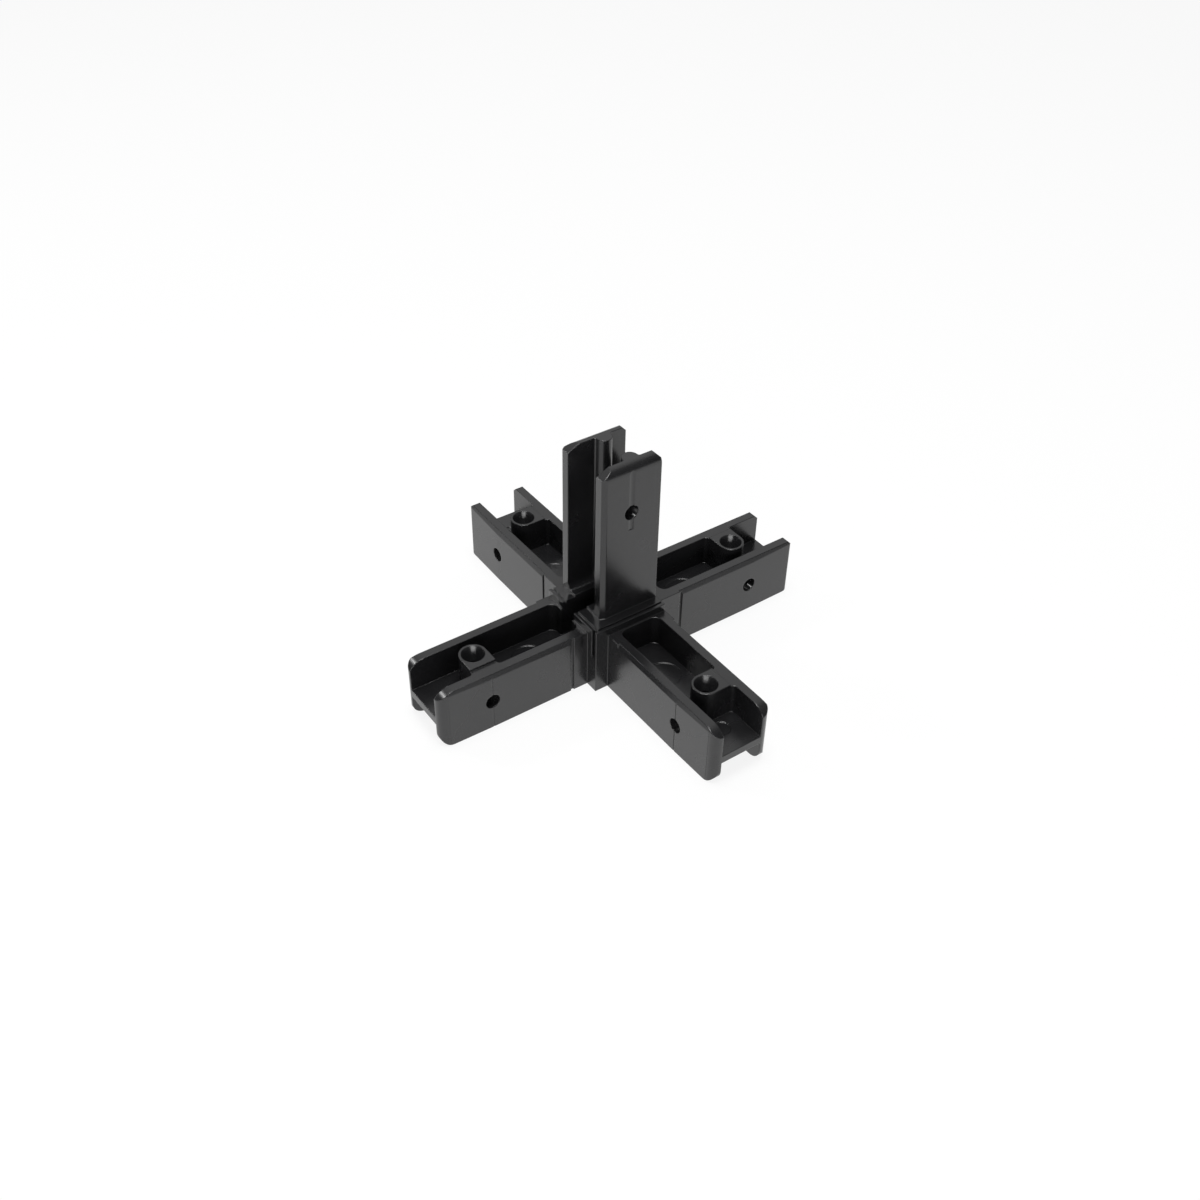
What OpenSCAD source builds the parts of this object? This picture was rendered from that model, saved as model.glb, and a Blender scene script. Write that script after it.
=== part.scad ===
// Five-way corner joint for square tube framing, moulded in one piece.
// Four arms lie in a cross and a fifth stands on the hub. Each arm is an H-section
// spigot: two side walls and a web, with a screw boss tied to one of the walls.

/* [Arms] */
// Width of an arm across its side walls
arm_w = 17.6; // [16.6:0.1:19]
// Height of an arm from wall foot to wall rim
arm_h = 17; // [15:0.1:19]
// Distance from the upright's axis to the tip of a lying arm
arm_reach = 55; // [52:0.5:80]
// Distance from the lying arms' mid-height to the upright's tip
upright_reach = 54; // [52:0.5:80]
// Thickness of an arm's side walls
wall_t = 2.9; // [2.4:0.1:3.3]
// Thickness of the web between the walls
web_t = 2.2; // [1.6:0.1:3]
// Width of the bevel along the walls' rims, measured across the wall
bevel_across = 0.6; // [0.3:0.1:1.2]
// Height of that bevel, measured down the wall's outer face
bevel_down = 1.3; // [0.6:0.1:2]
// Radius of the pocket's corners at the hub
pocket_r = 2; // [0.8:0.1:3]

/* [Front tips] */
// Radius of the outer edges at the tips of the two front arms and the upright
tip_r = 2.4; // [1:0.1:2.8]
// Length of the round lead-in on the rims of the two front arms
nose_len = 4.2; // [3:0.1:5]
// Drop of that lead-in at the tip
nose_h = 2.2; // [1:0.1:3]
// Radius under the tips of the two front arms
front_foot_r = 3.5; // [2:0.1:6]
// Inward lean of a lying arm's side faces, from its screw holes to its tip
tip_taper = 0.25; // [0.1:0.05:0.5]

/* [Rear tips] */
// Radius of the outer edges at the tips of the two rear arms
rear_tip_r = 0.8; // [0.4:0.1:2.4]
// Size of the corner cut on the rims of the two rear arms
rear_cut = 1; // [0.5:0.1:2]
// Radius under the tips of the two rear arms
rear_foot_r = 1.3; // [1:0.1:6]

/* [Upright's tip] */
// Length of the corner cut on the upright's open side
open_cut_len = 1.6; // [0.8:0.1:3]
// Depth of that corner cut, measured across the upright
open_cut_h = 3.4; // [2:0.1:5]
// Size of the corner cut on the upright's boss side
back_cut = 1; // [0.5:0.1:2]
// Distance of the upright's web face from its middle, on the boss side
upright_web = 1.7; // [1:0.1:2.2]
// Radius of the round-nosed ribs between the upright's boss and its tip
rib_r = 2.1; // [1.6:0.1:2.4]
// Radius of the fillets along the upright's web and ribs
corner_r = 0.6; // [0.4:0.1:1]

/* [Hub] */
// Side of the square hub
hub_w = 25; // [24:0.1:28]
// Height of the hub's top above the arms' rims
hub_rise = 2.1; // [1:0.1:4]
// Thickness of the lip that a pocket leaves outside the hub's face
pocket_lip = 0.5; // [0.3:0.1:1]
// Width of the passage from the front-left arm's pocket to the upright's
passage_w = 5.2; // [4:0.1:7]
// Distance of the line groove on the hub's top from the hub's edge
line_inset = 0.8; // [0.5:0.1:1.2]
// Width and depth of the line groove
line_w = 0.5; // [0.3:0.1:0.8]
// Width of the relief slot beside the hub's upright edge
relief_w = 1.3; // [0.8:0.1:1.6]
// Depth of the relief slot
relief_d = 1.2; // [0.6:0.1:2]
// Length of the relief slot, down from the hub's top
relief_len = 8.5; // [5:0.1:12]
// Distance of the relief slot from the hub's upright edge
relief_inset = 0.6; // [0.4:0.1:1]
// Wall left round the recess under the hub
hub_wall = 3; // [2.5:0.1:4]

/* [Root lands] */
// Length of the square-edged land on a lying arm, out from the hub
land_len = 4.1; // [3:0.1:6]
// Width of the groove at the land's end
groove_w = 0.9; // [0.3:0.1:1.2]
// Depth of that groove
groove_d = 0.4; // [0.2:0.05:0.6]

/* [Screws] */
// Distance from the joint's axes to the screw holes
screw_reach = 40.5; // [38:0.5:46]
// Diameter of a screw boss
boss_d = 7.2; // [6.6:0.1:8]
// Height of a screw boss above the arm's rims
boss_rise = 0.6; // [0.3:0.1:0.9]
// Distance that the raised boss runs from the arm's middle towards its tied wall
block_reach = 4.7; // [4:0.1:5.5]
// Pilot bore of a screw boss
boss_bore = 2.6; // [2:0.1:3.2]
// Diameter of the lead-in cone at the boss's top
sink_d = 6; // [5.2:0.1:6.4]
// Depth of the lead-in cone
sink_depth = 3.5; // [2.5:0.1:5]
// Diameter of the cross holes in the side walls
cross_d = 4; // [3:0.1:5]
// How far a cross hole runs in past the wall
cross_past = 0.6; // [0.3:0.1:1]

/* [Moulding marks] */
// Diameter of the ejector mark near an arm's tip
pin_d = 4.4; // [3:0.1:5]
// Distance of that mark from the screw hole
pin_offset = 7; // [6.6:0.1:8]
// Diameter of the ejector mark on the pocket's floor
pad_d = 8.8; // [6:0.1:10]
// Distance of that mark from the screw hole
pad_offset = 16; // [13:0.1:18]
// Depth of the ejector marks
mark_depth = 0.2; // [0.1:0.05:0.4]
// Width of the witness groove on the upright's outer faces
witness_w = 1.6; // [1:0.1:2]
// Depth of the witness groove
witness_d = 0.15; // [0.1:0.05:0.3]
// How far the witness groove runs on below the upright's screw hole
witness_past = 5; // [3:0.1:8]
// Width of the seam lines across the front arms' side faces
seam_w = 0.4; // [0.2:0.05:0.6]
// Depth of the seam lines
seam_d = 0.1; // [0.05:0.05:0.2]

/* [Hidden] */
$fn = 64;
rim_z = arm_h / 2;
hub_top = rim_z + hub_rise;
hub_face = hub_w / 2;
cavity_w = arm_w - 2 * wall_t;
land_end = hub_face + land_len;
lying_start = hub_face + pocket_lip;
upright_start = hub_top + pocket_lip;
upright_under = upright_web - web_t;
boss_end = screw_reach + boss_d / 2;
tie_r = 1;
tied_walls = [1, 1, -1, 1, 1];
cross_walls = [-1, -1, 1, 1, 1];
past = 1;

// Puts its children on an arm: 0 to 3 lie along +X, +Y, -X and -Y, and 4 stands.
// An arm is drawn along +X with its boss side up.
module on_arm(index) {
    if (index < 4) {
        rotate([0, 0, 90 * index]) children();
    } else {
        rotate([-90, 0, 0]) rotate([0, 0, -90]) children();
    }
}

// Takes a square corner down to a round one, with the corner at the origin.
module round_off(r) {
    difference() {
        translate([-r, 0]) square([r + past, r]);
        translate([-r, r]) circle(r);
    }
    translate([-r, -past]) square([r + past, past]);
}

// Takes a square corner down to a slanted one, with the corner at the origin.
module cut_off(length, depth) {
    polygon([
        [-length, -past],
        [-length, 0],
        [0, depth],
        [past, depth],
        [past, -past]
    ]);
}

// Takes a square corner down to an arc that leaves one edge smoothly, with the corner at the origin.
module ease_off(length, depth) {
    r = (pow(length, 2) + pow(depth, 2)) / (2 * depth);
    difference() {
        translate([-length, -past]) square([length + past, depth + past]);
        translate([-length, r]) circle(r);
    }
}

// Side view of an arm with a plain end.
module plain_side(reach) {
    translate([0, -rim_z]) square([reach, arm_h]);
}

// Side view of a front arm: round lead-in on the rim, round foot.
module front_side(reach) {
    difference() {
        plain_side(reach);
        translate([reach, rim_z]) scale([1, -1]) ease_off(nose_len, nose_h);
        translate([reach, -rim_z]) round_off(front_foot_r);
    }
}

// Side view of a rear arm: small cut on the rim, round foot.
module rear_side(reach) {
    difference() {
        plain_side(reach);
        translate([reach, rim_z]) scale([1, -1]) cut_off(rear_cut, rear_cut);
        translate([reach, -rim_z]) round_off(rear_foot_r);
    }
}

// Side view of the upright: a cut on its open side and a smaller one on its boss side.
module upright_side(reach) {
    difference() {
        plain_side(reach);
        translate([reach, rim_z]) scale([1, -1]) cut_off(back_cut, back_cut);
        translate([reach, -rim_z]) cut_off(open_cut_len, open_cut_h);
    }
}

// Plan of an arm: straight to the screw holes, then leaning in to a round-edged tip.
module arm_plan(reach, taper, edge_r) {
    tip_y = arm_w / 2 - taper;
    difference() {
        polygon([
            [0, -arm_w / 2],
            [screw_reach, -arm_w / 2],
            [reach, -tip_y],
            [reach, tip_y],
            [screw_reach, arm_w / 2],
            [0, arm_w / 2]
        ]);
        for (side = [-1, 1]) {
            scale([1, side]) translate([reach, -tip_y]) round_off(edge_r);
        }
    }
}

// Section of an arm with its two upper long edges bevelled.
module arm_section() {
    half = arm_w / 2;
    polygon([
        [half, -rim_z],
        [half, rim_z - bevel_down],
        [half - bevel_across, rim_z],
        [bevel_across - half, rim_z],
        [-half, rim_z - bevel_down],
        [-half, -rim_z]
    ]);
}

// Solid blank of an arm, before its pockets are cut. Its side view is the child,
// and up is 1 or -1 for bevels on the boss side or on the other.
module arm_blank(reach, land, taper, edge_r, up) {
    intersection() {
        rotate([90, 0, 0]) linear_extrude(arm_w + 2 * past, center = true) children();
        linear_extrude(arm_h + 2 * past, center = true) arm_plan(reach, taper, edge_r);
        union() {
            rotate([90, 0, 90]) linear_extrude(reach + past) scale([1, up]) arm_section();
            translate([0, -arm_w / 2, -rim_z]) cube([land, arm_w, arm_h]);
        }
    }
}

// Grooves across an arm's two side faces, from rim to foot.
module side_grooves(at, width, depth) {
    for (side = [-1, 1]) {
        translate([at, side * arm_w / 2 - depth, -rim_z - past])
            cube([width, 2 * depth, arm_h + 2 * past]);
    }
}

// Plan of a pocket, round at the hub and open at the tip.
module pocket_plan(start, reach) {
    half = cavity_w / 2;
    difference() {
        translate([start, -half]) square([reach + past - start, cavity_w]);
        for (side = [-1, 1]) {
            scale([-1, side]) translate([-start, -half]) round_off(pocket_r);
        }
    }
}

// Fillet of a corner at the origin, between solids at negative x and at positive y.
module fillet(r) {
    difference() {
        translate([-past, -r]) square([r + past, r + past]);
        translate([r, -r]) circle(r);
    }
}

// Plan of the screw boss and of the block that ties it to the wall at +Y.
module boss_plan() {
    half = cavity_w / 2;
    translate([screw_reach, 0]) {
        circle(d = boss_d);
        translate([-boss_d / 2, 0]) square([boss_d, half + past]);
        for (side = [-1, 1]) {
            scale([side, 1]) translate([boss_d / 2, half]) fillet(tie_r);
        }
    }
}

// Raised top of a screw boss, which stops short of its tied wall: 1 for +Y, -1 for -Y.
module boss_top(tied) {
    translate([screw_reach, 0, rim_z - past]) linear_extrude(past + boss_rise) {
        circle(d = boss_d);
        translate([-boss_d / 2, 0]) scale([1, tied]) square([boss_d, block_reach]);
    }
}

// Space on both sides of an arm's web, whose face on the boss side is at web_top. The boss is
// tied to the wall on the side that tied names.
module pockets(start, reach, web_top, tied) {
    translate([0, 0, web_top]) linear_extrude(rim_z + past - web_top) difference() {
        pocket_plan(start, reach);
        scale([1, tied]) boss_plan();
    }
    translate([0, 0, -rim_z - past]) linear_extrude(rim_z + past + web_top - web_t) pocket_plan(start, reach);
}

// Section of a round-nosed rib on the wall at +Y, level with the web's open side.
module rib_section() {
    translate([cavity_w / 2 - corner_r, upright_under + rib_r]) {
        circle(rib_r);
        translate([0, -rib_r]) square([corner_r + past, 2 * rib_r]);
        translate([corner_r, rib_r]) mirror([1, -1]) fillet(corner_r);
    }
}

// Space in the upright: its pockets, and an opening between two ribs in place of the web
// from the boss to the tip. The web's and the ribs' corners on the open side are round.
module upright_space(reach) {
    difference() {
        union() {
            pockets(upright_start, reach, upright_web, tied_walls[4]);
            translate([0, 0, -rim_z]) linear_extrude(arm_h) pocket_plan(boss_end, reach);
        }
        rotate([90, 0, 90]) for (side = [-1, 1]) {
            translate([0, 0, boss_end]) linear_extrude(reach + 2 * past - boss_end)
                scale([side, 1]) rib_section();
            linear_extrude(reach + 2 * past)
                scale([side, 1]) translate([cavity_w / 2, upright_under]) mirror([1, 0]) fillet(corner_r);
        }
    }
}

// Pilot bore with its lead-in cone, and a cross hole in one wall: 1 for +Y, -1 for -Y.
module screw_holes(web_top, wall) {
    cross_len = wall_t + cross_past;
    bore_start = web_top - web_t - past;
    cone_start = rim_z + boss_rise - sink_depth;
    translate([screw_reach, 0, 0]) {
        translate([0, 0, bore_start]) cylinder(h = rim_z + past - bore_start, d = boss_bore);
        translate([0, 0, cone_start]) cylinder(h = sink_depth, d1 = boss_bore, d2 = sink_d);
        translate([0, wall * (arm_w / 2 - cross_len), 0])
            rotate([-90 * wall, 0, 0]) cylinder(h = cross_len + past, d = cross_d);
    }
}

// Shallow round ejector mark on a web whose face is at web_top.
module ejector_mark(at, d, web_top) {
    translate([at, 0, web_top - mark_depth]) cylinder(h = 2 * mark_depth, d = d);
}

// Round-bottomed witness groove along the upright's two outer faces, through the height of
// its screw hole and up to the tip.
module witness_grooves(reach) {
    start = screw_reach - witness_past;
    groove_r = (pow(witness_w / 2, 2) + pow(witness_d, 2)) / (2 * witness_d);
    for (side = [-1, 1]) {
        translate([start, side * (arm_w / 2 + groove_r - witness_d), 0])
            rotate([0, 90, 0]) cylinder(r = groove_r, h = reach + past - start);
    }
}

// Hub block, flush with the rear arms' sides and square at the front corner.
module hub() {
    side = hub_face + arm_w / 2;
    line_at = hub_face - line_inset - line_w;
    difference() {
        translate([-arm_w / 2, -hub_face, -rim_z]) cube([side, side, rim_z + hub_top]);
        translate([line_at, -line_at - line_w, hub_top - line_w])
            cube([line_w, side, line_w + past]);
        translate([line_at + line_w - side, -line_at - line_w, hub_top - line_w])
            cube([side, line_w, line_w + past]);
        translate([hub_face - relief_inset - relief_w, -hub_face - past, hub_top - relief_len])
            cube([relief_w, relief_d + past, relief_len + past]);
    }
}

// Passage through the hub's edge, from the front-left arm's upper pocket to the upright's.
module passage() {
    translate([-passage_w / 2, -lying_start - past, 0])
        cube([passage_w, lying_start + past + upright_under, upright_start + past]);
}

// Recess under the hub, up to the level of the webs.
module hub_recess() {
    side = arm_w - 2 * hub_wall;
    translate([-side / 2, -side / 2, -rim_z - past]) cube([side, side, rim_z + past - web_t]);
}

// The whole joint, with the arms' feet at the origin's level.
module corner_joint() {
    color("#1b1b1c") translate([0, 0, rim_z]) difference() {
        union() {
            hub();
            for (index = [0, 3]) {
                on_arm(index) arm_blank(arm_reach, land_end, tip_taper, tip_r, 1) front_side(arm_reach);
            }
            for (index = [1, 2]) {
                on_arm(index) arm_blank(arm_reach, land_end, tip_taper, rear_tip_r, 1) rear_side(arm_reach);
            }
            on_arm(4) arm_blank(upright_reach, hub_top, 0, tip_r, -1) upright_side(upright_reach);
            for (index = [0:4]) {
                on_arm(index) boss_top(tied_walls[index]);
            }
        }
        for (index = [0:3]) {
            on_arm(index) {
                pockets(lying_start, arm_reach, 0, tied_walls[index]);
                screw_holes(0, cross_walls[index]);
                ejector_mark(screw_reach + pin_offset, pin_d, 0);
                ejector_mark(screw_reach - pad_offset, pad_d, 0);
            }
        }
        for (index = [1:3]) {
            on_arm(index) side_grooves(land_end, groove_w, groove_d);
        }
        for (index = [0, 3]) {
            on_arm(index) side_grooves(screw_reach - seam_w / 2, seam_w, seam_d);
        }
        on_arm(4) {
            upright_space(upright_reach);
            screw_holes(upright_web, cross_walls[4]);
            ejector_mark(screw_reach - pad_offset, pad_d, upright_web);
            witness_grooves(upright_reach);
        }
        passage();
        hub_recess();
    }
}

corner_joint();
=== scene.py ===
"""Looks for the five-way corner joint: black moulded plastic on a white floor."""
import math

import bpy
from mathutils import Matrix, Vector

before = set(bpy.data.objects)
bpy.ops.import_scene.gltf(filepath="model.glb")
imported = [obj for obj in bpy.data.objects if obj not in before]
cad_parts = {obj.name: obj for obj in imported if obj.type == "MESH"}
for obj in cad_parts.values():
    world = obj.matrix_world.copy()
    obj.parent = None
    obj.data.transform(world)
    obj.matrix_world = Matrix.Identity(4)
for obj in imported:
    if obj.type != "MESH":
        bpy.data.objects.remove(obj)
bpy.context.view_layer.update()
MM = 0.001

# The camera, solved from the photograph. Angles are in degrees, lengths in millimetres and
# picture places in pixels of the 1200 by 1200 image. The aim is the hub at the arms' mid-height.
IMAGE_PX = 1200
SENSOR_MM = 36
FOCAL_PX = 1391.9
YAW, PITCH, ROLL = 54.43, 39.62, 0.94
DISTANCE = 364.0
AIM_PX = (607.7, 621.8)
AIM_HEIGHT = 8.5
CLIP_NEAR_M, CLIP_FAR_M = 0.01, 20

# The plastic. Its flow marks go from dark and glossy to paler and duller between two noise levels.
FLOW_FROM, FLOW_TO = 0.3, 0.75
DARK_TONE = (0.007, 0.007, 0.0075)
PALE_TONE = (0.0125, 0.0125, 0.0135)
GLOSSY_ROUGHNESS, DULL_ROUGHNESS = 0.22, 0.3
PLASTIC_IOR = 1.6
EDGE_RADIUS = 0.35
WAVE_DEPTH, WAVE_STRENGTH = 0.5, 0.05
PORE_DEPTH, PORE_STRENGTH = 0.05, 0.06

# The floor: how white its paint is, and how much of its look is plain white whatever the light.
FLOOR_HALF_M = 3
FLOOR_PAINT = 0.95
FLOOR_WHITE_SHARE = 0.87

# The studio, as stops of a position and a grey level. The brightest side is a direction out from
# the joint, and the panel's stops go by how nearly a direction points there. The others go by
# the direction's height, from 0 at the horizon to 1 overhead.
BRIGHT_SIDE = (-0.63, 0.45, 0.64)
PANEL_STOPS = ((0.3, 0.12), (0.7, 0.2), (0.85, 0.55), (0.95, 0.8))
ROOM_STOPS = ((0.0, 0.1), (0.22, 0.3), (0.45, 0.95), (1.0, 0.95))
HAZE_STOPS = ((0.05, 1), (0.22, 0))
HAZE_LEVEL = 0.45
LAMP_AIM_M = 0.02


def direction(yaw, pitch):
    """Unit vector from the object out to a viewer at that yaw and pitch, in degrees."""
    y, p = math.radians(yaw), math.radians(pitch)
    return Vector((math.sin(y) * math.cos(p), -math.cos(y) * math.cos(p), math.sin(p)))


def add_camera():
    """The photograph's camera, shifted so that the aim falls on its own pixel."""
    back = direction(YAW, PITCH)
    level = Vector((math.cos(math.radians(YAW)), math.sin(math.radians(YAW)), 0))
    raised = back.cross(level)
    roll = math.radians(ROLL)
    right = level * math.cos(roll) + raised * math.sin(roll)
    up = raised * math.cos(roll) - level * math.sin(roll)
    across = (AIM_PX[0] - IMAGE_PX / 2) * DISTANCE / FOCAL_PX
    down = (AIM_PX[1] - IMAGE_PX / 2) * DISTANCE / FOCAL_PX
    place = Vector((0, 0, AIM_HEIGHT)) + back * DISTANCE - right * across + up * down
    turn = Matrix((right, up, back)).transposed().to_4x4()
    data = bpy.data.cameras.new("camera")
    data.sensor_width = SENSOR_MM
    data.lens = FOCAL_PX / IMAGE_PX * SENSOR_MM
    data.clip_start = CLIP_NEAR_M
    data.clip_end = CLIP_FAR_M
    camera = bpy.data.objects.new("camera", data)
    camera.matrix_world = Matrix.Translation(place * MM) @ turn
    bpy.context.scene.collection.objects.link(camera)
    bpy.context.scene.camera = camera


def new_material(name):
    """A material, with the nodes and links of its empty node tree."""
    material = bpy.data.materials.new(name)
    material.use_nodes = True
    material.node_tree.nodes.clear()
    return material, material.node_tree.nodes, material.node_tree.links


def grey(level):
    """Grey colour of that level."""
    return (level, level, level)


def ramp(nodes, links, value, stops):
    """Socket with a ramp's colour at a value; a stop is a position and a colour."""
    node = nodes.new("ShaderNodeValToRGB")
    elements = node.color_ramp.elements
    while len(elements) < len(stops):
        elements.new(0.5)
    for element, (position, colour) in zip(elements, stops):
        element.position = position
        element.color = (*colour, 1)
    links.new(value, node.inputs["Fac"])
    return node.outputs["Color"]


def grey_ramp(nodes, links, value, stops):
    """Socket with a ramp's colour at a value; a stop is a position and a grey level."""
    return ramp(nodes, links, value, [(position, grey(level)) for position, level in stops])


def noise(nodes, links, scale, detail, distortion=0):
    """Socket with a noise value over the object's own coordinates."""
    place = nodes.new("ShaderNodeTexCoord")
    node = nodes.new("ShaderNodeTexNoise")
    node.inputs["Scale"].default_value = scale
    node.inputs["Detail"].default_value = detail
    node.inputs["Distortion"].default_value = distortion
    links.new(place.outputs["Object"], node.inputs["Vector"])
    return node.outputs["Fac"]


def bump(nodes, links, height, normal, depth, strength):
    """Socket with a normal bumped by a height, to a depth in millimetres."""
    node = nodes.new("ShaderNodeBump")
    node.inputs["Strength"].default_value = strength
    node.inputs["Distance"].default_value = depth * MM
    links.new(height, node.inputs["Height"])
    links.new(normal, node.inputs["Normal"])
    return node.outputs["Normal"]


def mix_shaders(nodes, links, share, first, second):
    """Socket that goes from the first shader to the second as the share goes from 0 to 1."""
    node = nodes.new("ShaderNodeMixShader")
    links.new(share, node.inputs["Fac"])
    links.new(first, node.inputs[1])
    links.new(second, node.inputs[2])
    return node.outputs["Shader"]


def black_plastic():
    """Moulded plastic: nearly black, satin, with faint flow marks, fine grain and soft edges."""
    material, nodes, links = new_material("black_plastic")
    out = nodes.new("ShaderNodeOutputMaterial")
    body = nodes.new("ShaderNodeBsdfPrincipled")
    body.inputs["IOR"].default_value = PLASTIC_IOR

    flow = noise(nodes, links, scale=55, detail=3, distortion=0.6)
    tone = ramp(nodes, links, flow, ((FLOW_FROM, DARK_TONE), (FLOW_TO, PALE_TONE)))
    links.new(tone, body.inputs["Base Color"])
    gloss = grey_ramp(nodes, links, flow, ((FLOW_FROM, GLOSSY_ROUGHNESS), (FLOW_TO, DULL_ROUGHNESS)))
    links.new(gloss, body.inputs["Roughness"])

    soft_edge = nodes.new("ShaderNodeBevel")
    soft_edge.samples = 8
    soft_edge.inputs["Radius"].default_value = EDGE_RADIUS * MM
    waves = bump(nodes, links, flow, soft_edge.outputs["Normal"], WAVE_DEPTH, WAVE_STRENGTH)
    grain = noise(nodes, links, scale=1600, detail=2)
    pores = bump(nodes, links, grain, waves, PORE_DEPTH, PORE_STRENGTH)
    links.new(pores, body.inputs["Normal"])
    links.new(body.outputs["BSDF"], out.inputs["Surface"])
    return material


def shown_to_eye(nodes, links):
    """Socket that is 1 for what the camera sees, directly, in a reflection or through glass."""
    path = nodes.new("ShaderNodeLightPath")
    seen = path.outputs["Is Camera Ray"]
    for ray in ("Is Glossy Ray", "Is Transmission Ray"):
        either = nodes.new("ShaderNodeMath")
        either.operation = "MAXIMUM"
        links.new(seen, either.inputs[0])
        links.new(path.outputs[ray], either.inputs[1])
        seen = either.outputs[0]
    return seen


def white_floor():
    """Paint that takes the joint's soft shadow and shows white to the eye."""
    material, nodes, links = new_material("floor_white")
    out = nodes.new("ShaderNodeOutputMaterial")
    paint = nodes.new("ShaderNodeBsdfDiffuse")
    paint.inputs["Color"].default_value = (*grey(FLOOR_PAINT), 1)
    glow = nodes.new("ShaderNodeEmission")
    glow.inputs["Color"].default_value = (*grey(1), 1)
    share = nodes.new("ShaderNodeMath")
    share.operation = "MULTIPLY"
    share.inputs[1].default_value = FLOOR_WHITE_SHARE
    links.new(shown_to_eye(nodes, links), share.inputs[0])
    look = mix_shaders(nodes, links, share.outputs[0], paint.outputs["BSDF"], glow.outputs["Emission"])
    links.new(look, out.inputs["Surface"])
    return material


def add_floor():
    """Square floor under the joint, wide enough to fill the picture."""
    sides = ((-1, -1), (1, -1), (1, 1), (-1, 1))
    corners = [(x * FLOOR_HALF_M, y * FLOOR_HALF_M, 0) for x, y in sides]
    mesh = bpy.data.meshes.new("floor")
    mesh.from_pydata(corners, [], [(0, 1, 2, 3)])
    mesh.materials.append(white_floor())
    floor = bpy.data.objects.new("floor", mesh)
    bpy.context.scene.collection.objects.link(floor)


def add_world():
    """Plain studio: a dim room with a pale panel high behind the joint, and grey haze low down."""
    world = bpy.data.worlds.new("studio")
    world.use_nodes = True
    nodes, links = world.node_tree.nodes, world.node_tree.links
    nodes.clear()
    out = nodes.new("ShaderNodeOutputWorld")
    toward = nodes.new("ShaderNodeTexCoord").outputs["Generated"]
    split = nodes.new("ShaderNodeSeparateXYZ")
    links.new(toward, split.inputs["Vector"])
    height = split.outputs["Z"]
    turn = nodes.new("ShaderNodeVectorMath")
    turn.operation = "DOT_PRODUCT"
    turn.inputs[1].default_value = BRIGHT_SIDE
    links.new(toward, turn.inputs[0])

    room = nodes.new("ShaderNodeBackground")
    links.new(grey_ramp(nodes, links, height, ROOM_STOPS), room.inputs["Color"])
    links.new(grey_ramp(nodes, links, turn.outputs["Value"], PANEL_STOPS), room.inputs["Strength"])
    haze = nodes.new("ShaderNodeBackground")
    haze.inputs["Color"].default_value = (*grey(HAZE_LEVEL), 1)
    low = grey_ramp(nodes, links, height, HAZE_STOPS)
    look = mix_shaders(nodes, links, low, room.outputs["Background"], haze.outputs["Background"])
    links.new(look, out.inputs["Surface"])
    bpy.context.scene.world = world


def add_lamp(name, toward, distance, width, height, power):
    """Soft lamp that looks at the joint from that direction; metres and watts."""
    data = bpy.data.lights.new(name, "AREA")
    data.shape = "RECTANGLE"
    data.size = width
    data.size_y = height
    data.energy = power
    lamp = bpy.data.objects.new(name, data)
    away = Vector(toward).normalized()
    lamp.location = Vector((0, 0, LAMP_AIM_M)) + away * distance
    lamp.rotation_euler = away.to_track_quat("Z", "Y").to_euler()
    bpy.context.scene.collection.objects.link(lamp)


add_camera()
add_world()
add_floor()
add_lamp("key", toward=(-0.62, -0.46, 0.63), distance=0.7, width=0.08, height=0.08, power=0.7)
add_lamp("top", toward=(0.05, -0.05, 1), distance=0.8, width=0.35, height=0.35, power=5)
add_lamp("front", toward=(0.8, -0.57, 0.24), distance=0.9, width=0.7, height=0.24, power=3)

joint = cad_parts["corner_joint"]
joint.data.materials.clear()
joint.data.materials.append(black_plastic())

bpy.context.scene.view_settings.view_transform = "Standard"
